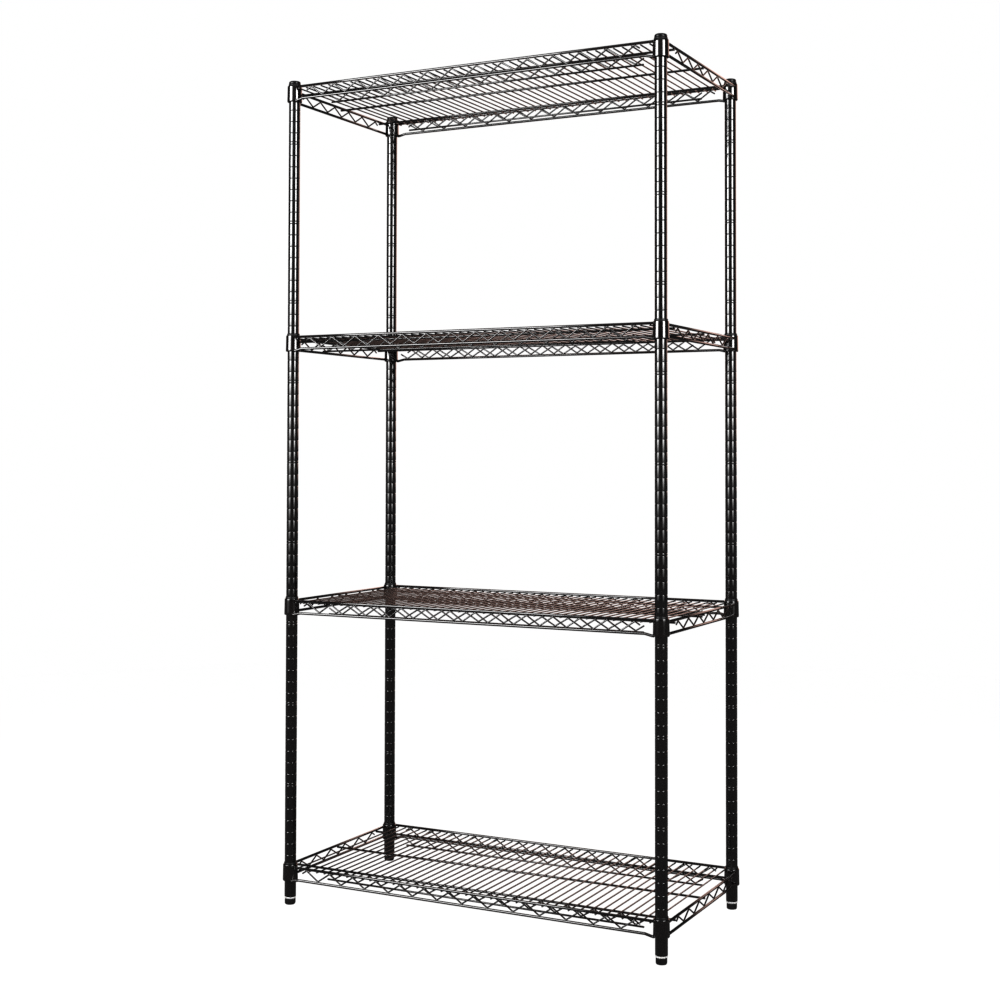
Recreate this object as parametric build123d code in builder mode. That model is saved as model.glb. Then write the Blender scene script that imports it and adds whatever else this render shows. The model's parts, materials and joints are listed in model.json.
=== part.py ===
from build123d import *
import os
from math import sqrt

os.makedirs("parts", exist_ok=True)

# Free-standing wire shelving rack, four shelves on four grooved posts.
# Millimetres, +Z up, X along the long side, front = -Y.
# Origin: on the floor, under the middle of the rack.

INCH = 25.4

# --- dimensions: posts and their fittings ---------------------------------------
post_x = 34.5 * INCH / 2            # half the post spacing
post_y = 16.5 * INCH / 2
post_r = 12.5                       # 25 mm tube
post_bore_r = 11.3
post_z0, post_z1 = 17.0, 1819.6
post_end_bevel = 0.3

groove_z0 = 57.8                    # lowest ring groove
groove_pitch = INCH
groove_count = 70
groove_depth = 0.5
groove_width = 1.6
marker_first = 1                    # index of the first groove that is a pair
marker_every = 7                    # grooves from one pair to the next
marker_rise = 5.3                   # second groove of a pair above the first

plug_r = post_bore_r + 0.02         # tight fit in the tube

cap_z1 = 1826.5
cap_r = 12.9
cap_round = 3.5
cap_plug_len = 16.0
cap_plug_bevel = 1.5
cap_hole_r = plug_r - 2.0
cap_hole_rise = 4.0                 # hole runs this far above the top of the post

foot_flats = 22.4                   # hexagon across flats
foot_turn = 12                      # degrees
foot_h = 13.5
stem_r = 4.76                       # 3/8 in stud
stem_top = 57.0
stem_bevel = 0.8
stem_in_foot = 9.0
stem_z0 = foot_h - stem_in_foot
foot_hole_r = stem_r - 0.02

washer_r = 12.4
washer_hole_r = 5.2
washer_gap = 0.02                   # above and below
washer_bevel = 0.4

bush_len = 28.0
bush_hole_r = stem_r + 0.06

# --- dimensions: shelves, heights measured from the foot of the collars -------------
collar_h = 35.5
collar_r0, collar_r1 = 16.5, 15.9               # outside, bottom and top
collar_bore_r0, collar_bore_r1 = 14.90, 14.00
collar_bore_z0, collar_bore_z1 = 0.6, collar_h - 0.4
bore_slope = (collar_bore_r1 - collar_bore_r0) / (collar_bore_z1 - collar_bore_z0)

sleeve_gap = 0.05                   # wedge clearance
sleeve_z0 = collar_bore_z0
sleeve_z1 = collar_h + 4.5
sleeve_bevel_z = sleeve_z1 - 0.8
sleeve_bore_r = post_r + 0.05
sleeve_split = 0.4
split_cut_len = 40                  # reaches past both sides of a sleeve
sleeve_rib_z = 31.0                 # rib that drops into a groove
sleeve_rib_r = post_r - 0.35
sleeve_rib_w = 1.0

weld = 0.3                          # how far crossing wires sink together

rail_r = 2.8                        # perimeter wires
rail_y = 221.0                      # long rails
rail_x = 450.2                      # short rails
long_rail_z = 31.5
short_rail_z = 28.8
bottom_rail_z = 5.0
dip = 4.0                           # long bottom rails dip into the collars
dip_run = 14                        # nearly level part of the dip
dip_run_rise = 0.4
dip_end = 30                        # the rail is level from here inwards
dip_bend = 14

cope_top_r, cope_top_z = 15.2, (15, 45)         # rails are coped to the collars
cope_bottom_r, cope_bottom_z = 15.5, (-20, 20)

deck_r = 1.5                        # cross wires
deck_count = 44
deck_x = 419.0                      # outermost cross wire
deck_pitch = 2 * deck_x / (deck_count - 1)
deck_len = 2 * 222.6
deck_z = long_rail_z - rail_r - deck_r + weld

inner_r = 2.4                       # support rails under the deck
inner_y = 170.0
inner_z = deck_z - deck_r - inner_r + weld
inner_len = 2 * 452.6
middle_r = 2.3
middle_z = deck_z - deck_r - middle_r + weld
inner_low_r = 2.0
inner_low_z = 1.0
inner_low_ends = (-366.0, 386.0)

zig_r = 1.6                         # zigzag wires
zig_half = 29.775                   # half of one V along the rail
zig_rise = 19.0                     # nominal rise, used for the bend allowance
zig_bend = 4.0
bend_loss = zig_bend * (sqrt(1 + (zig_rise / zig_half) ** 2) - 1)
stub_run, stub_drop = 11.0, 7.0     # bent-down tails of the edge zigzags
cut_leg = 0.62                      # part of the last leg kept on the inner zigzags
long_vees, short_vees = 13, 5
inner_shift = 10.5                  # inner zigzags sit off centre along the shelf

# --- layout ----------------------------------------------------------------------
corners = {
    "front_left": (-post_x, -post_y),
    "front_right": (post_x, -post_y),
    "rear_right": (post_x, post_y),
    "rear_left": (-post_x, post_y),
}

# name, index of the groove that holds the sleeve ribs, and -1 where the shelf's
# off-centre inner wires are reversed along X
shelves = [
    ("bottom_shelf", 1, 1),
    ("lower_shelf", 24, 1),
    ("upper_shelf", 47, -1),
    ("top_shelf", 69, 1),
]


# --- helpers -----------------------------------------------------------------------
def save(part, name):
    part.label = name
    export_step(part, f"parts/{name}.step")


def section_plane(x, y, z=0):
    """Upright plane at (x, y, z) for sketching half sections in (radius, height)."""
    return Plane(origin=(x, y, z), x_dir=(1, 0, 0), z_dir=(0, -1, 0))


def upright_axis(x, y):
    return Axis((x, y, 0), (0, 0, 1))


def groove_z(index):
    return groove_z0 + groove_pitch * index


# --- posts and fittings --------------------------------------------------------------
def post_outline():
    """Half section of the tube, with its ring grooves."""
    groove_zs = [groove_z(i) for i in range(groove_count)]
    groove_zs += [groove_z(i) + marker_rise
                  for i in range(marker_first, groove_count, marker_every)]
    half = groove_width / 2
    floor_r = post_r - groove_depth
    bevel_r = post_r - post_end_bevel

    points = [(post_bore_r, post_z0), (bevel_r, post_z0), (post_r, post_z0 + post_end_bevel)]
    for z in sorted(groove_zs):
        points += [(post_r, z - half), (floor_r, z - half / 2),
                   (floor_r, z + half / 2), (post_r, z + half)]
    points += [(post_r, post_z1 - post_end_bevel), (bevel_r, post_z1), (post_bore_r, post_z1)]
    return points


def make_post(x, y):
    with BuildPart() as post:
        with BuildSketch(section_plane(x, y)):
            with BuildLine():
                Polyline(*post_outline(), close=True)
            make_face()
        revolve(axis=upright_axis(x, y))
    return post.part


def make_cap(x, y):
    """Rounded cap with a hollow plug that goes down into the tube."""
    with BuildPart() as cap:
        with BuildSketch(Plane(origin=(x, y, post_z1))):
            Circle(cap_r)
        extrude(amount=cap_z1 - post_z1)
        fillet(cap.edges().group_by(Axis.Z)[-1], radius=cap_round)
        with BuildSketch(Plane(origin=(x, y, post_z1))):
            Circle(plug_r)
        extrude(amount=-cap_plug_len)
        chamfer(cap.edges().group_by(Axis.Z)[0], length=cap_plug_bevel)
        with BuildSketch(Plane(origin=(x, y, post_z1 - cap_plug_len))):
            Circle(cap_hole_r)
        extrude(amount=cap_plug_len + cap_hole_rise, mode=Mode.SUBTRACT)
    return cap.part


# (radius, height) envelope that trims the hexagon's corners; it overshoots both ends
foot_envelope = [
    (0, -1), (10.2, -1), (10.2, 0), (12.4, 2.6), (12.4, 12.2),
    (11.4, foot_h), (11.4, foot_h + 1), (0, foot_h + 1),
]


def make_foot(x, y):
    with BuildPart() as foot:
        with BuildSketch(Plane(origin=(x, y, 0))):
            RegularPolygon(radius=foot_flats / 2, side_count=6, major_radius=False,
                           rotation=foot_turn)
        extrude(amount=foot_h)
        with BuildSketch(section_plane(x, y)):
            with BuildLine():
                Polyline(*foot_envelope, close=True)
            make_face()
        revolve(axis=upright_axis(x, y), mode=Mode.INTERSECT)
        with BuildSketch(Plane(origin=(x, y, foot_h))):
            Circle(foot_hole_r)
        extrude(amount=-stem_in_foot, mode=Mode.SUBTRACT)
    return foot.part


def make_stem(x, y):
    with BuildPart() as stem:
        with BuildSketch(Plane(origin=(x, y, stem_z0))):
            Circle(stem_r)
        extrude(amount=stem_top - stem_z0)
        chamfer(stem.edges().group_by(Axis.Z)[-1], length=stem_bevel)
    return stem.part


def make_washer(x, y):
    with BuildPart() as washer:
        with BuildSketch(Plane(origin=(x, y, foot_h + washer_gap))):
            Circle(washer_r)
            Circle(washer_hole_r, mode=Mode.SUBTRACT)
        extrude(amount=post_z0 - foot_h - 2 * washer_gap)
        rims = washer.edges().filter_by(GeomType.CIRCLE).sort_by(SortBy.RADIUS)[-2:]
        chamfer(rims, length=washer_bevel)
    return washer.part


def make_bushes():
    """Threaded bushes in the foot of each post, modelled with plain holes."""
    with BuildPart() as bushes:
        with BuildSketch(Plane.XY.offset(post_z0)):
            with Locations(*corners.values()):
                Circle(plug_r)
                Circle(bush_hole_r, mode=Mode.SUBTRACT)
        extrude(amount=bush_len)
    return bushes.part


# --- collars and sleeves ---------------------------------------------------------------
# half section in (radius, height): the bore is conical, to wedge on the sleeves
collar_outline = [
    (collar_bore_r0 + 0.4, 0), (collar_r0 - 0.9, 0),
    (collar_r0, 1.4), (collar_r1, collar_h - 1.0),
    (collar_r1 - 0.8, collar_h), (collar_bore_r1 + 0.3, collar_h),
    (collar_bore_r1, collar_bore_z1), (collar_bore_r0, collar_bore_z0),
]


def make_collars(z0):
    with BuildPart() as collars:
        for x, y in corners.values():
            with BuildSketch(section_plane(x, y, z0)):
                with BuildLine():
                    Polyline(*collar_outline, close=True)
                make_face()
            revolve(axis=upright_axis(x, y))
    return collars.part


def sleeve_r(z):
    """Outside radius of a sleeve, following the cone of the collar's bore."""
    return collar_bore_r0 + bore_slope * (z - collar_bore_z0) - sleeve_gap


rib_half = sleeve_rib_w / 2
rib_tip_half = 0.6 * rib_half
# half section in (radius, height), with the rib on the bore
sleeve_outline = [
    (sleeve_bore_r, sleeve_z0), (sleeve_r(sleeve_z0), sleeve_z0),
    (sleeve_r(sleeve_bevel_z), sleeve_bevel_z), (sleeve_r(sleeve_z1) - 0.5, sleeve_z1),
    (sleeve_bore_r, sleeve_z1), (sleeve_bore_r, sleeve_rib_z + rib_half),
    (sleeve_rib_r, sleeve_rib_z + rib_tip_half), (sleeve_rib_r, sleeve_rib_z - rib_tip_half),
    (sleeve_bore_r, sleeve_rib_z - rib_half),
]


def make_sleeves(x, z0):
    """Tapered sleeves on the two posts at x, each split into a front and a rear half."""
    with BuildPart() as sleeves:
        for y in (-post_y, post_y):
            with BuildSketch(section_plane(x, y, z0)):
                with BuildLine():
                    Polyline(*sleeve_outline, close=True)
                make_face()
            revolve(axis=upright_axis(x, y))
        with BuildSketch(Plane.XY.offset(z0 - 1)):
            with Locations((x, -post_y), (x, post_y)):
                Rectangle(split_cut_len, sleeve_split)
        extrude(amount=sleeve_z1 + 5, mode=Mode.SUBTRACT)
    return sleeves.part


# --- shelf wires -------------------------------------------------------------------------
def make_top_rails(z0):
    """The long pair lies over the cross wires, the short pair at the ends a little lower."""
    long_z, short_z = z0 + long_rail_z, z0 + short_rail_z
    cope_z0, cope_z1 = cope_top_z
    with BuildPart() as rails:
        with BuildSketch(Plane.YZ.offset(-post_x)):
            with Locations((-rail_y, long_z), (rail_y, long_z)):
                Circle(rail_r)
        extrude(amount=2 * post_x)
        with BuildSketch(Plane.XZ.offset(-post_y)):
            with Locations((-rail_x, short_z), (rail_x, short_z)):
                Circle(rail_r)
        extrude(amount=2 * post_y)
        with BuildSketch(Plane.XY.offset(z0 + cope_z0)):
            with Locations(*corners.values()):
                Circle(cope_top_r)
        extrude(amount=cope_z1 - cope_z0, mode=Mode.SUBTRACT)
    return rails.part


def make_bottom_rails(z0):
    """The long pair dips where it meets the collars; the short pair is straight."""
    z = z0 + bottom_rail_z
    cope_z0, cope_z1 = cope_bottom_z
    left_end = [(-post_x, z - dip), (-post_x + dip_run, z - dip + dip_run_rise),
                (-post_x + dip_end, z)]
    right_end = [(-x, height) for x, height in reversed(left_end)]
    with BuildPart() as rails:
        for side in (-1, 1):
            with BuildLine(Plane.XZ.offset(-side * rail_y)) as run:
                FilletPolyline(*left_end, *right_end, radius=dip_bend)
            with BuildSketch(Plane(origin=run.line @ 0, z_dir=run.line % 0)):
                Circle(rail_r)
            sweep(path=run.line)
        with BuildSketch(Plane.XZ.offset(-post_y)):
            with Locations((-rail_x, z), (rail_x, z)):
                Circle(rail_r)
        extrude(amount=2 * post_y)
        with BuildSketch(Plane.XY.offset(z0 + cope_z0)):
            with Locations(*corners.values()):
                Circle(cope_bottom_r)
        extrude(amount=cope_z1 - cope_z0, mode=Mode.SUBTRACT)
    return rails.part


def zigzag_points(vees, z_low, z_high, centre=0.0, stubs=True):
    """Corner points (along, up) of a zigzag with this many low points.

    The ends either rise to a peak and turn down in a stub, or stop part way up a leg.
    """
    # corners lie beyond the wanted heights, as the bends cut them short
    low, high = z_low - bend_loss, z_high + bend_loss
    reach = (vees - 1) * zig_half
    if stubs:
        peak = reach + zig_half
        end = [(peak, high), (peak + stub_run, high - stub_drop)]
    else:
        end = [(reach + cut_leg * zig_half, low + cut_leg * (high - low))]
    middle = [(centre - reach + i * zig_half, high if i % 2 else low)
              for i in range(2 * vees - 1)]
    return ([(centre - along, z) for along, z in reversed(end)] + middle
            + [(centre + along, z) for along, z in end])


def make_zigzags(runs):
    """Zigzag wires swept along runs of (plane, corner points)."""
    with BuildPart() as zigzags:
        for plane, points in runs:
            with BuildLine(plane) as run:
                FilletPolyline(*points, radius=zig_bend)
            with BuildSketch(Plane(origin=run.line @ 0, z_dir=run.line % 0)):
                Circle(zig_r)
            sweep(path=run.line)
    return zigzags.part


def make_edge_zigzags(z0):
    """Zigzags that tie the top and bottom rails, one on each side."""
    to_wire = rail_r + zig_r - weld
    low = z0 + bottom_rail_z + to_wire
    long_points = zigzag_points(long_vees, low, z0 + long_rail_z - to_wire)
    short_points = zigzag_points(short_vees, low, z0 + short_rail_z - to_wire)
    runs = [(Plane.XZ.offset(-side * rail_y), long_points) for side in (-1, 1)]
    runs += [(Plane.YZ.offset(side * rail_x), short_points) for side in (-1, 1)]
    return make_zigzags(runs)


def make_inner_zigzags(z0, turn):
    """Zigzags between the upper and lower inner rails."""
    points = zigzag_points(long_vees,
                           z0 + inner_low_z + inner_low_r + zig_r - weld,
                           z0 + inner_z - inner_r - zig_r + weld,
                           centre=turn * inner_shift, stubs=False)
    return make_zigzags([(Plane.XZ.offset(-side * inner_y), points) for side in (-1, 1)])


def make_deck(z0):
    """Cross wires running front to back."""
    with BuildPart() as deck:
        with BuildSketch(Plane.XZ.offset(-deck_len / 2)):
            with Locations((0, z0 + deck_z)):
                with GridLocations(deck_pitch, 1, deck_count, 1):
                    Circle(deck_r)
        extrude(amount=deck_len)
    return deck.part


def make_inner_rails(z0, turn):
    """An upper pair, a shorter lower pair, and a middle rail that has no lower wire."""
    upper_z, lower_z = z0 + inner_z, z0 + inner_low_z
    low_x0, low_x1 = sorted(turn * x for x in inner_low_ends)
    with BuildPart() as rails:
        with BuildSketch(Plane.YZ.offset(-inner_len / 2)):
            with Locations((-inner_y, upper_z), (inner_y, upper_z)):
                Circle(inner_r)
            with Locations((0, z0 + middle_z)):
                Circle(middle_r)
        extrude(amount=inner_len)
        with BuildSketch(Plane.YZ.offset(low_x0)):
            with Locations((-inner_y, lower_z), (inner_y, lower_z)):
                Circle(inner_low_r)
        extrude(amount=low_x1 - low_x0)
    return rails.part


# --- build the rack ------------------------------------------------------------------------
for corner, (x, y) in corners.items():
    save(make_post(x, y), f"post_{corner}")
    save(make_cap(x, y), f"cap_{corner}")
    save(make_foot(x, y), f"foot_{corner}")
    save(make_stem(x, y), f"foot_stem_{corner}")
    save(make_washer(x, y), f"foot_washer_{corner}")
save(make_bushes(), "post_bushes")

for shelf, groove, turn in shelves:
    z0 = groove_z(groove) - sleeve_rib_z
    save(make_collars(z0), f"{shelf}_collars")
    save(make_sleeves(-post_x, z0), f"{shelf}_sleeves_left")
    save(make_sleeves(post_x, z0), f"{shelf}_sleeves_right")
    save(make_top_rails(z0), f"{shelf}_top_rails")
    save(make_bottom_rails(z0), f"{shelf}_bottom_rails")
    save(make_edge_zigzags(z0), f"{shelf}_edge_zigzags")
    save(make_deck(z0), f"{shelf}_deck_wires")
    save(make_inner_rails(z0, turn), f"{shelf}_inner_rails")
    save(make_inner_zigzags(z0, turn), f"{shelf}_inner_zigzags")
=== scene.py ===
import bpy, bmesh, json, math, random
from mathutils import Vector, Matrix


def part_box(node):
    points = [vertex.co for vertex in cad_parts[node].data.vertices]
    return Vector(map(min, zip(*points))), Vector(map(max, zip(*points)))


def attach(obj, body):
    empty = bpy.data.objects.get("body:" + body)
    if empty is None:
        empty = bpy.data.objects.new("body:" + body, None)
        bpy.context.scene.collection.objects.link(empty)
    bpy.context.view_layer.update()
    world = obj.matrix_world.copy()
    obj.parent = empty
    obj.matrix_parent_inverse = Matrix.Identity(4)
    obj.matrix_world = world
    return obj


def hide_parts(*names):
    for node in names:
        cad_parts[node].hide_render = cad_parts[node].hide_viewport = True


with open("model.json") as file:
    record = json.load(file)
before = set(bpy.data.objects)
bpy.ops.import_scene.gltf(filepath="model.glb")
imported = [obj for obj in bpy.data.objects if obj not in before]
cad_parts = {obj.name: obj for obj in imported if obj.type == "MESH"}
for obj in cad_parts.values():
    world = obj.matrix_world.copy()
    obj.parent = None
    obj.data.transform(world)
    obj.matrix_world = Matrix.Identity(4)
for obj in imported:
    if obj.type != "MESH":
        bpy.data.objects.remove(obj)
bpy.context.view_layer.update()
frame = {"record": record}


random.seed(7)
MM = 0.001
CORNERS = ["front_left", "front_right", "rear_right", "rear_left"]
SHELVES = ["bottom_shelf", "lower_shelf", "upper_shelf", "top_shelf"]
slots = {s["node"]: s["material_slot"] for s in frame["record"]["subparts"]}


# ---------------------------------------------------------------- mesh makers
class Builder:
    """Collects closed quad surfaces into one mesh."""

    def __init__(self):
        self.v, self.f, self.smooth = [], [], []

    def grid(self, rings, closed_u=True, cap0=True, cap1=True, smooth=True):
        """rings: list of rings of equal length, joined in order; ends capped with an n-gon fan."""
        base, n = len(self.v), len(rings[0])
        for r in rings:
            self.v.extend(r)
        last = n if closed_u else n - 1
        for i in range(len(rings) - 1):
            a, b = base + i * n, base + (i + 1) * n
            for j in range(last):
                k = (j + 1) % n
                self.f.append((a + j, a + k, b + k, b + j))
                self.smooth.append(smooth)
        if cap0:
            self.f.append(tuple(base + j for j in range(n - 1, -1, -1)))
            self.smooth.append(smooth)
        if cap1:
            o = base + (len(rings) - 1) * n
            self.f.append(tuple(o + j for j in range(n)))
            self.smooth.append(smooth)

    def lathe(self, profile, cx, cy, segs=64, a0=0.0, a1=None):
        """profile: closed loop of (r, z) in mm, counter-clockwise in (r, z). Full turn, or an arc with end faces."""
        full = a1 is None
        span = 2 * math.pi if full else a1 - a0
        count = segs if full else segs + 1
        base, n = len(self.v), len(profile)
        for i in range(count):
            a = a0 + span * i / segs
            c, s = math.cos(a), math.sin(a)
            for r, z in profile:
                self.v.append((cx + r * c * MM, cy + r * s * MM, z * MM))
        for i in range(segs):
            p = base + i * n
            q = base + ((i + 1) % count) * n
            for j in range(n):
                k = (j + 1) % n
                self.f.append((p + j, q + j, q + k, p + k))
                self.smooth.append(True)
        if not full:
            self.f.append(tuple(base + j for j in range(n)))
            self.smooth.append(False)
            o = base + segs * n
            self.f.append(tuple(o + j for j in range(n - 1, -1, -1)))
            self.smooth.append(False)

    def solid_lathe(self, profile, cx, cy, segs=64):
        """profile: open line of (r, z) in mm from bottom to top, closed on the axis with fans."""
        rings = [[(cx + r * MM * math.cos(2 * math.pi * i / segs),
                   cy + r * MM * math.sin(2 * math.pi * i / segs), z * MM)
                  for i in range(segs)] for r, z in profile]
        self.grid(rings)

    def tube(self, pts, r, segs=14, round_end=0.45):
        """A wire of radius r (m) along points (m), with rounded ends."""
        pts = [Vector(p) for p in pts]
        t = [(pts[min(i + 1, len(pts) - 1)] - pts[max(i - 1, 0)]).normalized()
             for i in range(len(pts))]
        up = Vector((0, 0, 1)) if abs(t[0].z) < 0.9 else Vector((1, 0, 0))
        side = t[0].cross(up).normalized()
        rings = []
        e = r * round_end
        steps = [(0.0, 0.55), (0.35, 0.84), (1.0, 1.0)]

        def ring(c, s, tt, rad):
            b = s.cross(tt).normalized()
            return [tuple(c + s * (rad * math.cos(2 * math.pi * i / segs))
                          + b * (rad * math.sin(2 * math.pi * i / segs))) for i in range(segs)]

        for k, m in steps:
            rings.append(ring(pts[0] + t[0] * (e * k), side, t[0], r * m))
        for i in range(1, len(pts) - 1):
            side = (side - t[i] * side.dot(t[i])).normalized()
            a = t[i - 1].angle(t[i + 1]) if i + 1 < len(t) else 0
            rings.append(ring(pts[i], side, t[i], r))
        side = (side - t[-1] * side.dot(t[-1])).normalized()
        for k, m in reversed(steps):
            rings.append(ring(pts[-1] - t[-1] * (e * k), side, t[-1], r * m))
        self.grid(rings)

    def blob(self, c, sx, sy, sz, seed=0.0):
        """A small closed weld nugget, an uneven ellipsoid."""
        rings = []
        nu, nv = 10, 6
        for j in range(1, nv):
            ph = math.pi * j / nv - math.pi / 2
            ring = []
            for i in range(nu):
                th = 2 * math.pi * i / nu
                w = 1.0 + 0.09 * math.sin(3 * th + seed * 5.1) * math.cos(2 * ph + seed)
                ring.append((c[0] + sx * w * math.cos(th) * math.cos(ph),
                             c[1] + sy * w * math.sin(th) * math.cos(ph),
                             c[2] + sz * w * math.sin(ph)))
            rings.append(ring)
        self.grid(rings)

    def make(self, name, mat, sharp=None):
        me = bpy.data.meshes.new(name)
        me.from_pydata(self.v, [], self.f)
        me.polygons.foreach_set("use_smooth", self.smooth)
        me.materials.append(mat)
        bm = bmesh.new()
        bm.from_mesh(me)
        bmesh.ops.recalc_face_normals(bm, faces=bm.faces)
        if sharp:
            for e in bm.edges:
                if len(e.link_faces) == 2 and e.calc_face_angle(0) > math.radians(sharp):
                    e.smooth = False
        bm.to_mesh(me)
        bm.free()
        ob = bpy.data.objects.new(name, me)
        bpy.context.scene.collection.objects.link(ob)
        return ob


def place(ob, body, slot, *nodes):
    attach(ob, body)
    if nodes:
        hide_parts(*nodes)
    return ob


# ------------------------------------------------------------------ materials
def nodes_of(name):
    m = bpy.data.materials.new(name)
    m.use_nodes = True
    nt = m.node_tree
    for n in list(nt.nodes):
        nt.nodes.remove(n)
    out = nt.nodes.new("ShaderNodeOutputMaterial")
    bsdf = nt.nodes.new("ShaderNodeBsdfPrincipled")
    nt.links.new(bsdf.outputs[0], out.inputs[0])
    return m, nt, bsdf


def noise(nt, scale, detail=4.0, rough=0.5, vec=None):
    n = nt.nodes.new("ShaderNodeTexNoise")
    n.inputs["Scale"].default_value = scale
    n.inputs["Detail"].default_value = detail
    n.inputs["Roughness"].default_value = rough
    if vec:
        nt.links.new(vec, n.inputs["Vector"])
    return n


def ramp(nt, src, stops):
    r = nt.nodes.new("ShaderNodeValToRGB")
    while len(r.color_ramp.elements) < len(stops):
        r.color_ramp.elements.new(0.5)
    for e, (p, c) in zip(r.color_ramp.elements, stops):
        e.position = p
        e.color = (c[0], c[1], c[2], 1)
    nt.links.new(src, r.inputs[0])
    return r


def remap(nt, src, a, b, lo, hi):
    m = nt.nodes.new("ShaderNodeMapRange")
    m.inputs["From Min"].default_value = a
    m.inputs["From Max"].default_value = b
    m.inputs["To Min"].default_value = lo
    m.inputs["To Max"].default_value = hi
    nt.links.new(src, m.inputs["Value"])
    return m.outputs[0]


def math_node(nt, op, a, b=None, v=0.5):
    m = nt.nodes.new("ShaderNodeMath")
    m.operation = op
    nt.links.new(a, m.inputs[0])
    if b is not None:
        nt.links.new(b, m.inputs[1])
    else:
        m.inputs[1].default_value = v
    return m.outputs[0]


def coords(nt):
    return nt.nodes.new("ShaderNodeTexCoord").outputs["Object"]


def bump_chain(nt, bsdf, layers):
    prev = None
    for src, strength, dist in layers:
        b = nt.nodes.new("ShaderNodeBump")
        b.inputs["Strength"].default_value = strength
        b.inputs["Distance"].default_value = dist
        nt.links.new(src, b.inputs["Height"])
        if prev:
            nt.links.new(prev, b.inputs["Normal"])
        prev = b.outputs[0]
    nt.links.new(prev, bsdf.inputs["Normal"])
    if "Coat Normal" in bsdf.inputs:
        nt.links.new(prev, bsdf.inputs["Coat Normal"])


def enamel(name, dark, warm, rough, coat, peel, dust, gloss):
    """Baked black epoxy enamel: orange peel, slow thickness waves, fine dust specks, browner where thin."""
    m, nt, b = nodes_of(name)
    co = coords(nt)
    slow = noise(nt, 9.0, 3.0, 0.5, co)
    mid = noise(nt, 85.0, 4.0, 0.55, co)
    peel_n = noise(nt, 620.0, 2.0, 0.4, co)
    speck = noise(nt, 2600.0, 1.0, 0.5, co)
    mix = math_node(nt, "ADD", math_node(nt, "MULTIPLY", slow.outputs[0], v=0.55),
                    math_node(nt, "MULTIPLY", mid.outputs[0], v=0.45))
    col = ramp(nt, mix, [(0.30, dark), (0.52, [(a + c) / 2 for a, c in zip(dark, warm)]), (0.72, warm)])
    spk = ramp(nt, speck.outputs[0], [(0.0, (0, 0, 0)), (0.71, (0, 0, 0)), (0.78, (1, 1, 1))])
    mx = nt.nodes.new("ShaderNodeMix")
    mx.data_type = "RGBA"
    mx.inputs[7].default_value = (dust, dust * 0.96, dust * 0.92, 1)
    nt.links.new(math_node(nt, "MULTIPLY", spk.outputs[0], v=0.35), mx.inputs[0])
    nt.links.new(col.outputs[0], mx.inputs[6])
    nt.links.new(mx.outputs[2], b.inputs["Base Color"])
    nt.links.new(remap(nt, mid.outputs[0], 0.3, 0.7, rough * 0.82, rough * 1.25), b.inputs["Roughness"])
    b.inputs["Coat Weight"].default_value = coat
    nt.links.new(remap(nt, slow.outputs[0], 0.35, 0.65, 0.02, 0.045), b.inputs["Coat Roughness"])
    b.inputs["IOR"].default_value = 1.6
    b.inputs["Coat IOR"].default_value = gloss
    bump_chain(nt, b, [(peel_n.outputs[0], peel, 0.00012), (mid.outputs[0], peel * 0.6, 0.0004)])
    return m


def moulded(name, dark, light, rough, grain_scale, grain, scuff):
    """Moulded black plastic: spark-eroded grain, slow flow marks and pale scuffs."""
    m, nt, b = nodes_of(name)
    co = coords(nt)
    flow = noise(nt, 40.0, 3.0, 0.5, co)
    grain_n = noise(nt, grain_scale, 3.0, 0.6, co)
    st = nt.nodes.new("ShaderNodeMapping")
    st.inputs["Scale"].default_value = (1.0, 1.0, 0.12)
    nt.links.new(co, st.inputs["Vector"])
    scratch = noise(nt, 900.0, 2.0, 0.5, st.outputs[0])
    col = ramp(nt, flow.outputs[0], [(0.3, dark), (0.7, light)])
    sc = ramp(nt, scratch.outputs[0], [(0.0, (0, 0, 0)), (0.66, (0, 0, 0)), (0.76, (1, 1, 1))])
    mx = nt.nodes.new("ShaderNodeMix")
    mx.data_type = "RGBA"
    mx.inputs[7].default_value = (scuff, scuff, scuff, 1)
    nt.links.new(math_node(nt, "MULTIPLY", sc.outputs[0], v=0.30), mx.inputs[0])
    nt.links.new(col.outputs[0], mx.inputs[6])
    nt.links.new(mx.outputs[2], b.inputs["Base Color"])
    nt.links.new(remap(nt, grain_n.outputs[0], 0.3, 0.7, rough * 0.85, rough * 1.2), b.inputs["Roughness"])
    bump_chain(nt, b, [(grain_n.outputs[0], grain, 0.00015), (scratch.outputs[0], grain * 0.3, 0.0002)])
    return m


def zinc(name):
    """Bright zinc plate: pale metal, faint yellow and blue passivation clouds, turned rings and handling haze."""
    m, nt, b = nodes_of(name)
    co = coords(nt)
    cloud = noise(nt, 130.0, 4.0, 0.6, co)
    ringmap = nt.nodes.new("ShaderNodeMapping")
    ringmap.inputs["Scale"].default_value = (0.2, 0.2, 1.0)
    nt.links.new(co, ringmap.inputs["Vector"])
    ring = noise(nt, 5200.0, 2.0, 0.5, ringmap.outputs[0])
    col = ramp(nt, cloud.outputs[0], [(0.28, (0.86, 0.88, 0.90)), (0.5, (0.94, 0.94, 0.93)), (0.74, (0.97, 0.95, 0.91))])
    nt.links.new(col.outputs[0], b.inputs["Base Color"])
    b.inputs["Metallic"].default_value = 0.3
    nt.links.new(remap(nt, cloud.outputs[0], 0.3, 0.7, 0.30, 0.48), b.inputs["Roughness"])
    bump_chain(nt, b, [(ring.outputs[0], 0.25, 0.00006), (cloud.outputs[0], 0.1, 0.0001)])
    return m


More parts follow.
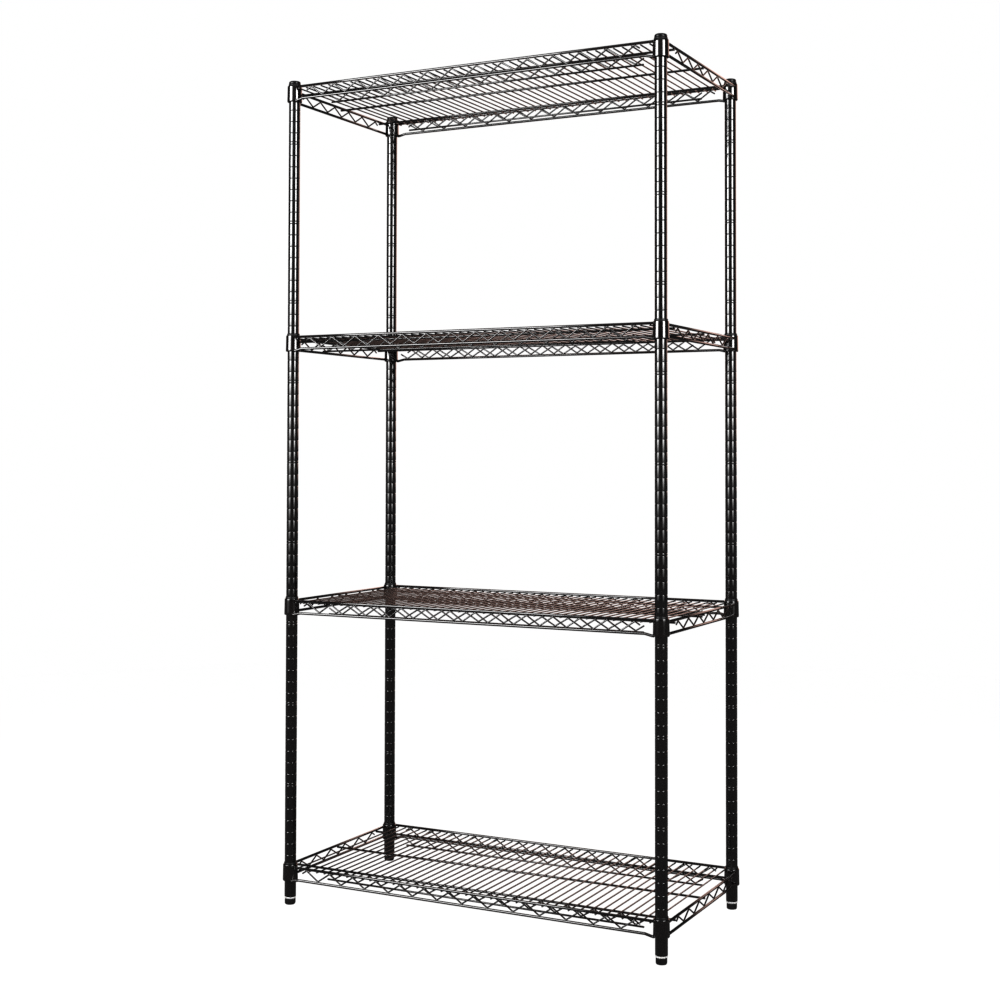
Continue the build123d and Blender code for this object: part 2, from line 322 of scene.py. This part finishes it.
MAT = {
    "post_enamel": enamel("post_enamel", (0.0060, 0.0058, 0.0060), (0.0120, 0.0105, 0.0100), 0.11, 0.9, 0.022, 0.05, 1.7),
    "wire_enamel": enamel("wire_enamel", (0.0050, 0.0042, 0.0040), (0.0110, 0.0080, 0.0072), 0.15, 1.0, 0.05, 0.05, 1.8),
    "cap_plastic": moulded("cap_plastic", (0.007, 0.007, 0.0075), (0.012, 0.012, 0.0125), 0.30, 1500.0, 0.10, 0.08),
    "sleeve_plastic": moulded("sleeve_plastic", (0.010, 0.010, 0.0105), (0.017, 0.017, 0.0175), 0.42, 2200.0, 0.25, 0.10),
    "foot_plastic": moulded("foot_plastic", (0.012, 0.0115, 0.0115), (0.022, 0.021, 0.0205), 0.40, 1800.0, 0.25, 0.14),
    "zinc_steel": zinc("zinc_steel"),
}


# --------------------------------------------------------- posts, caps and feet
def groove_lines(z0, z1):
    """Heights (mm) of every ring groove: one an inch, and a pair every seventh."""
    zs, z = [], 57.8
    for i in range(70):
        zs.append(57.8 + 25.4 * i)
    m = 83.2
    while m < z1 - 20:
        zs.append(m + 5.3)
        m += 177.8
    return sorted(q for q in zs if z0 < q < z1)


# half section of a rolled groove with soft shoulders: distance from its middle, depth
ROLL = [(1.3, 0.0), (1.1, 0.02), (0.9, 0.075), (0.72, 0.16), (0.52, 0.31), (0.3, 0.44)]

for tag in CORNERS:
    lo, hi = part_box("post_" + tag)
    cx, cy = (lo.x + hi.x) / 2, (lo.y + hi.y) / 2
    R = (hi.x - lo.x) / 2 / MM
    z0, z1 = lo.z / MM, hi.z / MM
    r_in = 11.3
    prof = [(r_in, z0), (R - 0.5, z0), (R - 0.15, z0 + 0.12), (R, z0 + 0.5)]
    d = 0.5
    for z in groove_lines(z0, z1):
        prof += [(R - q, z - w) for w, q in ROLL] + [(R - d, z)] + [(R - q, z + w) for w, q in reversed(ROLL)]
    prof += [(R, z1 - 0.5), (R - 0.15, z1 - 0.12), (R - 0.5, z1), (r_in, z1)]
    b = Builder()
    b.lathe(prof, cx, cy, 56)
    place(b.make("post_enamelled_" + tag, MAT["post_enamel"], sharp=50), "frame", "post_enamel", "post_" + tag)

    lo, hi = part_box("cap_" + tag)
    zt = hi.z / MM
    rc = (hi.x - lo.x) / 2 / MM
    zb = z1
    prof = [(8.6, lo.z / MM), (9.6, lo.z / MM), (11.2, lo.z / MM + 1.6), (11.25, zb - 0.1), (rc - 0.35, zb), (rc - 0.05, zb + 0.35), (rc, zb + 0.9)]
    rr = 3.6
    for i in range(0, 9):
        a = math.pi / 2 * i / 8
        prof.append((rc - rr + rr * math.cos(a), zt - 0.35 - rr + rr * math.sin(a)))
    prof += [(6.5, zt - 0.08), (3.2, zt), (0.4, zt)]
    b = Builder()
    b.solid_lathe(prof, cx, cy, 48)
    place(b.make("cap_moulded_" + tag, MAT["cap_plastic"], sharp=55), "frame", "cap_plastic", "cap_" + tag)

    # faceted foot: a hexagon blended into round shoulders
    lo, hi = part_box("foot_" + tag)
    h = hi.z / MM
    prof = [(0.5, 0.0), (9.4, 0.0), (10.2, 0.15), (10.9, 0.75), (11.6, 1.7), (12.0, 2.6), (12.25, 4.0), (12.3, 6.5),
            (12.3, 10.0), (12.2, 11.6), (11.9, 12.5), (11.3, 13.1), (10.5, 13.45), (9.0, h), (5.0, h)]
    flat, turn, segs = 11.2, math.radians(12), 96
    rings = []
    for r, z in prof:
        ring = []
        for i in range(segs):
            a = 2 * math.pi * i / segs
            q = ((a - turn + math.pi / 6) % (math.pi / 3)) - math.pi / 6
            hexr = flat / math.cos(q)
            p = 14.0
            rad = (r ** -p + hexr ** -p) ** (-1 / p) if r > 8 else r
            ring.append((cx + rad * MM * math.cos(a), cy + rad * MM * math.sin(a), z * MM))
        rings.append(ring)
    b = Builder()
    b.grid(rings)
    place(b.make("foot_moulded_" + tag, MAT["foot_plastic"], sharp=60), "levelling_foot_" + tag, "foot_plastic", "foot_" + tag)

    # screwed stem: a real helical thread
    lo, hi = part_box("foot_stem_" + tag)
    sr = (hi.x - lo.x) / 2 / MM
    pitch, depth, segs = 1.5875, 0.75, 32
    rings = []
    z = lo.z / MM
    step = pitch / 8
    top = hi.z / MM
    zs = []
    while z < top:
        zs.append(z)
        z += step
    zs.append(top)
    for z in zs:
        ring = []
        for i in range(segs):
            a = 2 * math.pi * i / segs
            ph = (z / pitch - a / (2 * math.pi)) % 1.0
            t = abs(2 * ph - 1)
            rad = sr - depth * min(1.0, max(0.0, 1.18 * t - 0.09))
            fade = min(1.0, max(0.0, (top - z) / 1.6))
            rad = min(rad, sr - depth * (1 - fade) - 0.3 * (1 - fade))
            if z < h + 0.3:
                rad = sr - depth
            ring.append((cx + rad * MM * math.cos(a), cy + rad * MM * math.sin(a), z * MM))
        rings.append(ring)
    b = Builder()
    b.grid(rings)
    place(b.make("foot_stem_threaded_" + tag, MAT["zinc_steel"], sharp=60), "levelling_foot_" + tag, "zinc_steel", "foot_stem_" + tag)

    lo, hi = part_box("foot_washer_" + tag)
    wr, wz0, wz1 = (hi.x - lo.x) / 2 / MM, lo.z / MM, hi.z / MM
    prof = [(5.25, wz0), (wr - 0.6, wz0), (wr - 0.18, wz0 + 0.12), (wr, wz0 + 0.5), (wr, wz1 - 0.5), (wr - 0.18, wz1 - 0.12),
            (wr - 0.6, wz1), (5.25, wz1)]
    b = Builder()
    b.lathe(prof, cx, cy, 64)
    place(b.make("foot_washer_plated_" + tag, MAT["zinc_steel"], sharp=50), "foot_travel_" + tag, "zinc_steel", "foot_washer_" + tag)

# threaded bushes in the ends of the posts, one piece of four
lo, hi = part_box("post_bushes")
b = Builder()
for tag in CORNERS:
    plo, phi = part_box("post_" + tag)
    cx, cy = (plo.x + phi.x) / 2, (plo.y + phi.y) / 2
    prof = [(4.95, lo.z / MM + 0.02), (10.9, lo.z / MM + 0.02), (11.25, lo.z / MM + 0.4)]
    prof += [(11.25, hi.z / MM - 0.4), (10.9, hi.z / MM), (5.3, hi.z / MM), (4.95, hi.z / MM - 0.4), (4.95, lo.z / MM + 0.6)]
    b.lathe(prof, cx, cy, 48)
place(b.make("post_bushes_threaded", MAT["zinc_steel"], sharp=50), "frame", "zinc_steel", "post_bushes")


# -------------------------------------------------------------------- shelves
def fillet_line(pts, radius, steps=5):
    """Polyline with its inner corners rounded to a radius, as a list of points."""
    pts = [Vector(p) for p in pts]
    out = [pts[0]]
    for i in range(1, len(pts) - 1):
        a, c, e = pts[i - 1], pts[i], pts[i + 1]
        u, w = (a - c).normalized(), (e - c).normalized()
        ang = u.angle(w)
        if ang > math.radians(179.5):
            out.append(c)
            continue
        t = radius / math.tan(ang / 2)
        p0, p1 = c + u * t, c + w * t
        centre = c + (u + w).normalized() * (radius / math.sin(ang / 2))
        v0, v1 = p0 - centre, p1 - centre
        full = v0.angle(v1)
        for k in range(steps + 1):
            f = k / steps
            s0 = math.sin((1 - f) * full) / math.sin(full)
            s1 = math.sin(f * full) / math.sin(full)
            out.append(centre + v0 * s0 + v1 * s1)
    out.append(pts[-1])
    return out


def zigzag_points(n, lo, hi, centre=0.0, end_high=True, half=29.775, bend=4.0):
    loss = bend * (math.sqrt(1 + (19.0 / half) ** 2) - 1)
    lo, hi = lo - loss, hi + loss
    first = centre - (n - 1) * half
    pts = []
    for i in range(n):
        x = first + 2 * half * i
        if i == 0:
            pts += [(x - half - 11.0, hi - 7.0), (x - half, hi)] if end_high else [(x - 0.62 * half, lo + 0.62 * (hi - lo))]
        pts += [(x, lo)]
        if i < n - 1 or end_high:
            pts += [(x + half, hi)]
    x = first + 2 * half * (n - 1)
    pts += [(x + half + 11.0, hi - 7.0)] if end_high else [(x + 0.62 * half, lo + 0.62 * (hi - lo))]
    return pts


CX, CY = 438.15, 209.55
for s in SHELVES:
    lo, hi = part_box(s + "_collars")
    z0 = lo.z / MM
    H = (hi.z - lo.z) / MM
    # the upper shelf is fitted the other way round; its inner zigzags are off centre the other way
    ilo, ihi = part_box(s + "_inner_zigzags")
    shift = (ilo.x + ihi.x) / 2 / MM
    turn = 1 if shift > 0 else -1

    # collars
    b = Builder()
    for tag in CORNERS:
        plo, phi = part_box("post_" + tag)
        cx, cy = (plo.x + phi.x) / 2, (plo.y + phi.y) / 2
        prof = [(15.2, z0), (15.55, z0 + 0.02), (16.1, z0 + 0.5), (16.4, z0 + 1.1), (16.5, z0 + 1.9), (16.45, z0 + 5)]
        prof += [(16.5 - 0.6 * t, z0 + H * t) for t in (0.35, 0.6, 0.85)]
        prof += [(15.92, z0 + H - 1.4), (15.75, z0 + H - 0.6), (15.3, z0 + H - 0.12), (14.9, z0 + H), (14.35, z0 + H),
                 (14.02, z0 + H - 0.35), (14.45, z0 + H * 0.5), (14.9, z0 + 0.6)]
        b.lathe(prof, cx, cy, 64)
    place(b.make(s + "_collars_enamelled", MAT["wire_enamel"], sharp=50), s, "wire_enamel", s + "_collars")

    # split sleeves: two halves a corner, with the rib inside
    lip = (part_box(s + "_sleeves_left")[1].z / MM)
    k = (14.0 - 14.9) / 34.5
    rr = lambda h: 14.9 + k * (h - 0.6) - 0.06
    for side in ("left", "right"):
        b = Builder()
        L = lip - z0
        prof = [(12.6, z0 + 0.6), (rr(0.6) - 0.25, z0 + 0.6), (rr(0.6), z0 + 0.85), (rr(10), z0 + 10), (rr(24), z0 + 24),
                (rr(L - 1.3), z0 + L - 1.3), (rr(L) - 0.18, z0 + L - 0.45), (rr(L) - 0.6, z0 + L - 0.05), (rr(L) - 0.9, z0 + L),
                (12.75, z0 + L), (12.6, z0 + L - 0.2), (12.6, z0 + 31.6), (12.2, z0 + 31.3), (12.2, z0 + 30.7), (12.6, z0 + 30.4)]
        g = 0.2 / 13.5
        for tag in ("front_" + side, "rear_" + side):
            plo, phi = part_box("post_" + tag)
            cx, cy = (plo.x + phi.x) / 2, (plo.y + phi.y) / 2
            b.lathe(prof, cx, cy, 30, g, math.pi - g)
            b.lathe(prof, cx, cy, 30, math.pi + g, 2 * math.pi - g)
        place(b.make(s + "_sleeves_moulded_" + side, MAT["sleeve_plastic"], sharp=50), "frame", "sleeve_plastic", s + "_sleeves_" + side)

    # long and short top rails, ends nested in the collars
    zt, zs_ = z0 + 31.5, z0 + 28.8
    zb = z0 + 5.0
    rr_ = 2.8 * MM
    end_x = lambda y_off, rad: math.sqrt(max(rad ** 2 - y_off ** 2, 1.0))
    b = Builder()
    ex = CX - end_x(221.0 - CY, 15.0)
    for y in (-221.0, 221.0):
        b.tube([(-ex * MM, y * MM, zt * MM), (-ex * MM / 2, y * MM, zt * MM), (0, y * MM, zt * MM), (ex * MM / 2, y * MM, zt * MM), (ex * MM, y * MM, zt * MM)], rr_, 20, 0.3)
    ey = CY - end_x(450.2 - CX, 15.0)
    for x in (-450.2, 450.2):
        b.tube([(x * MM, -ey * MM, zs_ * MM), (x * MM, 0, zs_ * MM), (x * MM, ey * MM, zs_ * MM)], rr_, 20, 0.3)
    place(b.make(s + "_top_rails_enamelled", MAT["wire_enamel"], sharp=60), s, "wire_enamel", s + "_top_rails")

    b = Builder()
    for y in (-221.0, 221.0):
        run = fillet_line([(-ex, y, zb - 3.7), (-CX + 14, y, zb - 3.6), (-CX + 30, y, zb), (CX - 30, y, zb), (CX - 14, y, zb - 3.6), (ex, y, zb - 3.7)], 14, 5)
        b.tube([p * MM for p in run], rr_, 20, 0.3)
    for x in (-450.2, 450.2):
        b.tube([(x * MM, -ey * MM, zb * MM), (x * MM, 0, zb * MM), (x * MM, ey * MM, zb * MM)], rr_, 20, 0.3)
    place(b.make(s + "_bottom_rails_enamelled", MAT["wire_enamel"], sharp=60), s, "wire_enamel", s + "_bottom_rails")

    # edge zigzags
    b = Builder()
    low = zb + 2.8 + 1.6 - 0.3
    for y in (-221.0, 221.0):
        run = fillet_line([(u, y, w) for u, w in zigzag_points(13, low, zt - 4.1)], 4.0)
        b.tube([p * MM for p in run], 1.6 * MM, 14)
    for x in (-450.2, 450.2):
        run = fillet_line([(x, u, w) for u, w in zigzag_points(5, low, zs_ - 4.1)], 4.0)
        b.tube([p * MM for p in run], 1.6 * MM, 14)
    place(b.make(s + "_edge_zigzags_enamelled", MAT["wire_enamel"], sharp=60), s, "wire_enamel", s + "_edge_zigzags")

    # deck wires, each cut a little long or short and never perfectly straight
    dlo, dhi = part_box(s + "_deck_wires")
    zd = (dlo.z + dhi.z) / 2
    b = Builder()
    xs = [(-419.0 + 838.0 * i / 43) * MM for i in range(44)]
    for x in xs:
        w = random.uniform(-0.35, 0.35) * MM
        q = random.uniform(-0.12, 0.0) * MM
        e0, e1 = random.uniform(0, 0.6) * MM, random.uniform(0, 0.6) * MM
        y0, y1 = dlo.y + e0, dhi.y - e1
        n = 8
        b.tube([(x + w * math.sin(math.pi * i / n), y0 + (y1 - y0) * i / n, zd + q * math.sin(math.pi * i / n)) for i in range(n + 1)], 1.5 * MM, 12)
    place(b.make(s + "_deck_wires_enamelled", MAT["wire_enamel"], sharp=60), s, "wire_enamel", s + "_deck_wires")

    # inner support rails, their shorter lower wires and the middle rail
    b = Builder()
    lo_i, hi_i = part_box(s + "_inner_rails")
    zi = zd / MM - 1.5 - 2.4 + 0.3
    zl = z0 + 1.0
    low_ends = sorted((turn * -366.0, turn * 386.0))
    for y in (-170.0, 170.0):
        b.tube([(lo_i.x, y * MM, zi * MM), (0, y * MM, zi * MM), (hi_i.x, y * MM, zi * MM)], 2.4 * MM, 18)
        b.tube([(low_ends[0] * MM, y * MM, zl * MM), (0, y * MM, zl * MM), (low_ends[1] * MM, y * MM, zl * MM)], 2.0 * MM, 16)
    zm = zd - (1.5 + 2.3 - 0.3) * MM
    b.tube([(lo_i.x, 0, zm), (0, 0, zm), (hi_i.x, 0, zm)], 2.3 * MM, 18)
    place(b.make(s + "_inner_rails_enamelled", MAT["wire_enamel"], sharp=60), s, "wire_enamel", s + "_inner_rails")
    b = Builder()
    for y in (-170.0, 170.0):
        run = fillet_line([(u, y, w) for u, w in zigzag_points(13, z0 + 1.0 + 2.0 + 1.6 - 0.3, zi - 2.4 - 1.6 + 0.3, shift, False)], 4.0)
        b.tube([p * MM for p in run], 1.6 * MM, 14)
    place(b.make(s + "_inner_zigzags_enamelled", MAT["wire_enamel"], sharp=60), s, "wire_enamel", s + "_inner_zigzags")

    # weld nuggets where wires cross, under the enamel
    b = Builder()
    for x in xs:
        for y in (-170.0, 0.0, 170.0):
            b.blob((x, y * MM, zd - 1.35 * MM), 1.95 * MM, 1.9 * MM, 0.95 * MM, random.random())
        for y in (-221.0, 221.0):
            b.blob((x, y * MM, zd + 1.25 * MM), 1.9 * MM, 1.8 * MM, 0.9 * MM, random.random())
    for y in (-221.0, 221.0):
        for i in range(13):
            b.blob((59.55 * (i - 6) * MM, y * MM, (low - 1.35) * MM), 3.0 * MM, 1.35 * MM, 0.95 * MM, random.random())
        for i in range(14):
            b.blob(((59.55 * (i - 6) - 29.775) * MM, y * MM, (zt - 2.75) * MM), 3.0 * MM, 1.35 * MM, 0.95 * MM, random.random())
    for x in (-450.2, 450.2):
        for i in range(5):
            b.blob((x * MM, 59.55 * (i - 2) * MM, (low - 1.35) * MM), 1.35 * MM, 3.0 * MM, 0.95 * MM, random.random())
        for i in range(6):
            b.blob((x * MM, (59.55 * (i - 2) - 29.775) * MM, (zs_ - 2.75) * MM), 1.35 * MM, 3.0 * MM, 0.95 * MM, random.random())
        for y in (-170.0, 0.0, 170.0):
            b.blob((x * MM, y * MM, (zs_ - 2.7) * MM), 2.2 * MM, 2.4 * MM, 1.0 * MM, random.random())
    for y in (-170.0, 170.0):
        for i in range(13):
            b.blob(((shift + 59.55 * (i - 6)) * MM, y * MM, (z0 + 3.2) * MM), 2.8 * MM, 1.3 * MM, 0.9 * MM, random.random())
        for i in range(12):
            b.blob(((shift + 59.55 * (i - 6) + 29.775) * MM, y * MM, (zi - 2.4) * MM), 2.8 * MM, 1.3 * MM, 0.9 * MM, random.random())
    # fillet welds of the rail ends on the collars
    for sx in (-1, 1):
        for sy in (-1, 1):
            wx = CX - end_x(221.0 - CY, 17.2)
            for z in (zt, zb - 3.4):
                b.blob((sx * wx * MM, sy * 220.4 * MM, z * MM), 2.4 * MM, 2.7 * MM, 3.3 * MM, random.random())
            wy = CY - end_x(450.2 - CX, 17.2)
            for z in (zs_, zb):
                b.blob((sx * 449.6 * MM, sy * wy * MM, z * MM), 2.7 * MM, 2.4 * MM, 3.3 * MM, random.random())
    place(b.make(s + "_weld_nuggets", MAT["wire_enamel"], sharp=80), s, "wire_enamel")

# ------------------------------------------------------------- floor and light
scene = bpy.context.scene
me = bpy.data.meshes.new("studio_floor")
ring, n = [], 96
vs, fs = [(0, 0, 0)], []
radii = [0.5, 1.0, 2.0, 4.0, 8.0, 16.0]
for r in radii:
    for i in range(n):
        a = 2 * math.pi * i / n
        vs.append((r * math.cos(a), r * math.sin(a), 0))
for i in range(n):
    fs.append((0, 1 + i, 1 + (i + 1) % n))
for k in range(len(radii) - 1):
    for i in range(n):
        a, c = 1 + k * n, 1 + (k + 1) * n
        fs.append((a + i, c + i, c + (i + 1) % n, a + (i + 1) % n))
me.from_pydata(vs, [], fs)
floor = bpy.data.objects.new("studio_floor", me)
scene.collection.objects.link(floor)
m, nt, b = nodes_of("studio_floor_paper")
out = [x for x in nt.nodes if x.type == "OUTPUT_MATERIAL"][0]
co = coords(nt)
fib = noise(nt, 30.0, 5.0, 0.6, co)
col = ramp(nt, fib.outputs[0], [(0.3, (0.90, 0.90, 0.90)), (0.7, (0.93, 0.93, 0.93))])
nt.links.new(col.outputs[0], b.inputs["Base Color"])
b.inputs["Roughness"].default_value = 0.95
b.inputs["Specular IOR Level"].default_value = 0.1
ln = nt.nodes.new("ShaderNodeVectorMath")
ln.operation = "LENGTH"
nt.links.new(co, ln.inputs[0])
fade = remap(nt, ln.outputs["Value"], 1.3, 4.2, 0.0, 1.0)
tr = nt.nodes.new("ShaderNodeBsdfTransparent")
ms = nt.nodes.new("ShaderNodeMixShader")
nt.links.new(fade, ms.inputs[0])
lp = nt.nodes.new("ShaderNodeLightPath")
# seen straight on, the paper is lifted nearly to white, as in an overexposed studio sweep
glow = nt.nodes.new("ShaderNodeEmission")
glow.inputs["Strength"].default_value = 1.085
lift = nt.nodes.new("ShaderNodeMixShader")
nt.links.new(math_node(nt, "MULTIPLY", lp.outputs["Is Camera Ray"], v=0.90), lift.inputs[0])
nt.links.new(b.outputs[0], lift.inputs[1])
nt.links.new(glow.outputs[0], lift.inputs[2])
nt.links.new(lift.outputs[0], ms.inputs[1])
nt.links.new(tr.outputs[0], ms.inputs[2])
nt.links.new(ms.outputs[0], out.inputs[0])
me.materials.append(m)
floor.visible_glossy = False

# the floor stays under the lowest foot, so that a foot screwed out still stands on it
floor_curve = floor.driver_add("location", 2)
floor_curve.driver.type = "MIN"
for tag in CORNERS:
    var = floor_curve.driver.variables.new()
    var.name = "foot_" + tag
    var.type = "TRANSFORMS"
    var.targets[0].id = bpy.data.objects["foot_moulded_" + tag]
    var.targets[0].transform_type = "LOC_Z"
    var.targets[0].transform_space = "WORLD_SPACE"
for mod in list(floor_curve.modifiers):
    floor_curve.modifiers.remove(mod)
while floor_curve.keyframe_points:
    floor_curve.keyframe_points.remove(floor_curve.keyframe_points[0], fast=True)
for height in (-0.05, 0.0):
    key = floor_curve.keyframe_points.insert(height, height)
    key.interpolation = "LINEAR"
floor_curve.update()

# pale studio: white behind the object, dimmer in reflections so that the black enamel keeps its depth
w = bpy.data.worlds.new("studio")
scene.world = w
w.use_nodes = True
nt = w.node_tree
bg = nt.nodes["Background"]
lp = nt.nodes.new("ShaderNodeLightPath")
mixc = nt.nodes.new("ShaderNodeMix")
mixc.data_type = "RGBA"
nt.links.new(lp.outputs["Is Camera Ray"], mixc.inputs[0])
mixc.inputs[7].default_value = (1.0, 1.0, 1.0, 1)
nt.links.new(mixc.outputs[2], bg.inputs["Color"])
# what the enamel mirrors: nearly black overhead, a little lighter below, and a warm grey glow
# from the backdrop behind the rack, near the horizon
sky = nt.nodes.new("ShaderNodeTexCoord").outputs["Generated"]
sp = nt.nodes.new("ShaderNodeSeparateXYZ")
nt.links.new(sky, sp.inputs[0])
low = remap(nt, sp.outputs[2], -0.12, 0.10, 1.0, 0.0)
dt = nt.nodes.new("ShaderNodeVectorMath")
dt.operation = "DOT_PRODUCT"
nt.links.new(sky, dt.inputs[0])
dt.inputs[1].default_value = (0.0, 1.0, 0.0)
back = remap(nt, dt.outputs["Value"], 0.76, 0.86, 0.0, 1.0)
hor = nt.nodes.new("ShaderNodeMix")
hor.data_type = "RGBA"
nt.links.new(low, hor.inputs[0])
hor.inputs[6].default_value = (0.05, 0.05, 0.052, 1)
hor.inputs[7].default_value = (0.15, 0.145, 0.145, 1)
gl = nt.nodes.new("ShaderNodeMix")
gl.data_type = "RGBA"
rise = remap(nt, sp.outputs[2], -0.03, 0.05, 0.0, 1.0)
sink = remap(nt, sp.outputs[2], 0.30, 0.52, 1.0, 0.0)
nt.links.new(math_node(nt, "MULTIPLY", back, math_node(nt, "MULTIPLY", rise, sink)), gl.inputs[0])
dark = nt.nodes.new("ShaderNodeMix")
dark.data_type = "RGBA"
nt.links.new(back, dark.inputs[0])
nt.links.new(hor.outputs[2], dark.inputs[6])
dark.inputs[7].default_value = (0.035, 0.035, 0.035, 1)
nt.links.new(dark.outputs[2], gl.inputs[6])
gl.inputs[7].default_value = (1.38, 0.96, 0.84, 1)
nt.links.new(gl.outputs[2], mixc.inputs[6])
bg.inputs["Strength"].default_value = 1.0


def panel(name, loc, target, sx, sy, radiance, stops=None):
    """A soft rectangular light of a given radiance; stops dim it from its lower edge (0) to its upper edge (1)."""
    ld = bpy.data.lights.new(name, "AREA")
    ld.shape = "RECTANGLE"
    ld.size, ld.size_y = sx, sy
    ld.energy = radiance * math.pi * sx * sy
    ob = bpy.data.objects.new(name, ld)
    ob.location = loc
    d = Vector(target) - Vector(loc)
    ob.rotation_euler = d.to_track_quat("-Z", "Y").to_euler()
    scene.collection.objects.link(ob)
    ob.visible_camera = False
    if stops:
        ld.use_nodes = True
        nt = ld.node_tree
        em = [x for x in nt.nodes if x.type == "EMISSION"][0]
        geo = nt.nodes.new("ShaderNodeNewGeometry")
        sep = nt.nodes.new("ShaderNodeSeparateXYZ")
        nt.links.new(geo.outputs["Parametric"], sep.inputs[0])
        r = nt.nodes.new("ShaderNodeValToRGB")
        while len(r.color_ramp.elements) < len(stops):
            r.color_ramp.elements.new(0.5)
        for e, (q, v) in zip(r.color_ramp.elements, stops):
            e.position = q
            e.color = (v, v, v, 1)
        nt.links.new(sep.outputs[1], r.inputs[0])
        nt.links.new(r.outputs[0], em.inputs["Color"])
    return ob


def around(deg, dist, z):
    """A point at an angle from the camera's side of the rack, positive to the camera's right."""
    a = math.atan2(-3088.4, 1569.3) + math.radians(deg)
    return (dist * math.cos(a), dist * math.sin(a), z)


# tall softboxes left and right of the camera, hung high so that their light falls off below waist height
FALL = [(0.0, 0.03), (0.10, 0.11), (0.18, 0.22), (0.25, 0.39), (0.32, 0.57), (0.39, 0.77), (0.47, 0.93), (0.6, 1.0)]
panel("left_softbox", around(-61.0, 3.8, 1.8), (0, 0, 1.8), 2.05, 2.8, 11.5, FALL)
panel("left_softbox_spill", around(-40.5, 3.8, 1.8), (0, 0, 1.8), 0.7, 2.8, 3.6, FALL)
panel("right_softbox", around(36.8, 4.0, 1.8), (0, 0, 1.8), 1.85, 2.8, 11.5, FALL)
panel("top_softbox", (0.3, -0.4, 3.6), (0, 0, 0.5), 2.4, 2.4, 0.3)
panel("floor_wash", (0.6, -1.6, 3.0), (0, 0, 0), 3.0, 3.0, 0.12)

# ---------------------------------------------------------------------- camera
cd = bpy.data.cameras.new("camera")
cam = bpy.data.objects.new("camera", cd)
scene.collection.objects.link(cam)
cd.sensor_fit = "HORIZONTAL"
cd.sensor_width = 36.0
cd.lens = 56.25
cd.shift_x = 0.0
cd.shift_y = -0.0894
cd.clip_start, cd.clip_end = 0.05, 60.0
yaw, pitch, roll = math.radians(27.34), math.radians(-1.571), math.radians(0.123)


def rx(a):
    c, s = math.cos(a), math.sin(a)
    return Matrix(((1, 0, 0), (0, c, -s), (0, s, c)))


def ry(a):
    c, s = math.cos(a), math.sin(a)
    return Matrix(((c, 0, s), (0, 1, 0), (-s, 0, c)))


def rz(a):
    c, s = math.cos(a), math.sin(a)
    return Matrix(((c, -s, 0), (s, c, 0), (0, 0, 1)))


W = rz(roll) @ rx(pitch) @ ry(yaw) @ Matrix(((1, 0, 0), (0, 0, -1), (0, 1, 0)))
rot = Matrix((W[0], -W[1], -W[2])).transposed()
cam.matrix_world = Matrix.Translation((1.5693, -3.0884, 0.9946)) @ rot.to_4x4()
scene.camera = cam

# the lens shift belongs to this viewpoint alone; at any other camera height it falls to nothing,
# so that other views stay centred on the rack
shift_curve = cd.driver_add("shift_y")
shift_curve.driver.type = "AVERAGE"
var = shift_curve.driver.variables.new()
var.name = "camera_height"
var.type = "TRANSFORMS"
var.targets[0].id = cam
var.targets[0].transform_type = "LOC_Z"
var.targets[0].transform_space = "WORLD_SPACE"
for mod in list(shift_curve.modifiers):
    shift_curve.modifiers.remove(mod)
while shift_curve.keyframe_points:
    shift_curve.keyframe_points.remove(shift_curve.keyframe_points[0], fast=True)
for height, value in ((0.95, 0.0), (0.98, -0.0894), (1.01, -0.0894), (1.04, 0.0)):
    key = shift_curve.keyframe_points.insert(height, value)
    key.interpolation = "LINEAR"
shift_curve.update()

scene.view_settings.view_transform = "Standard"
scene.view_settings.gamma = 0.7
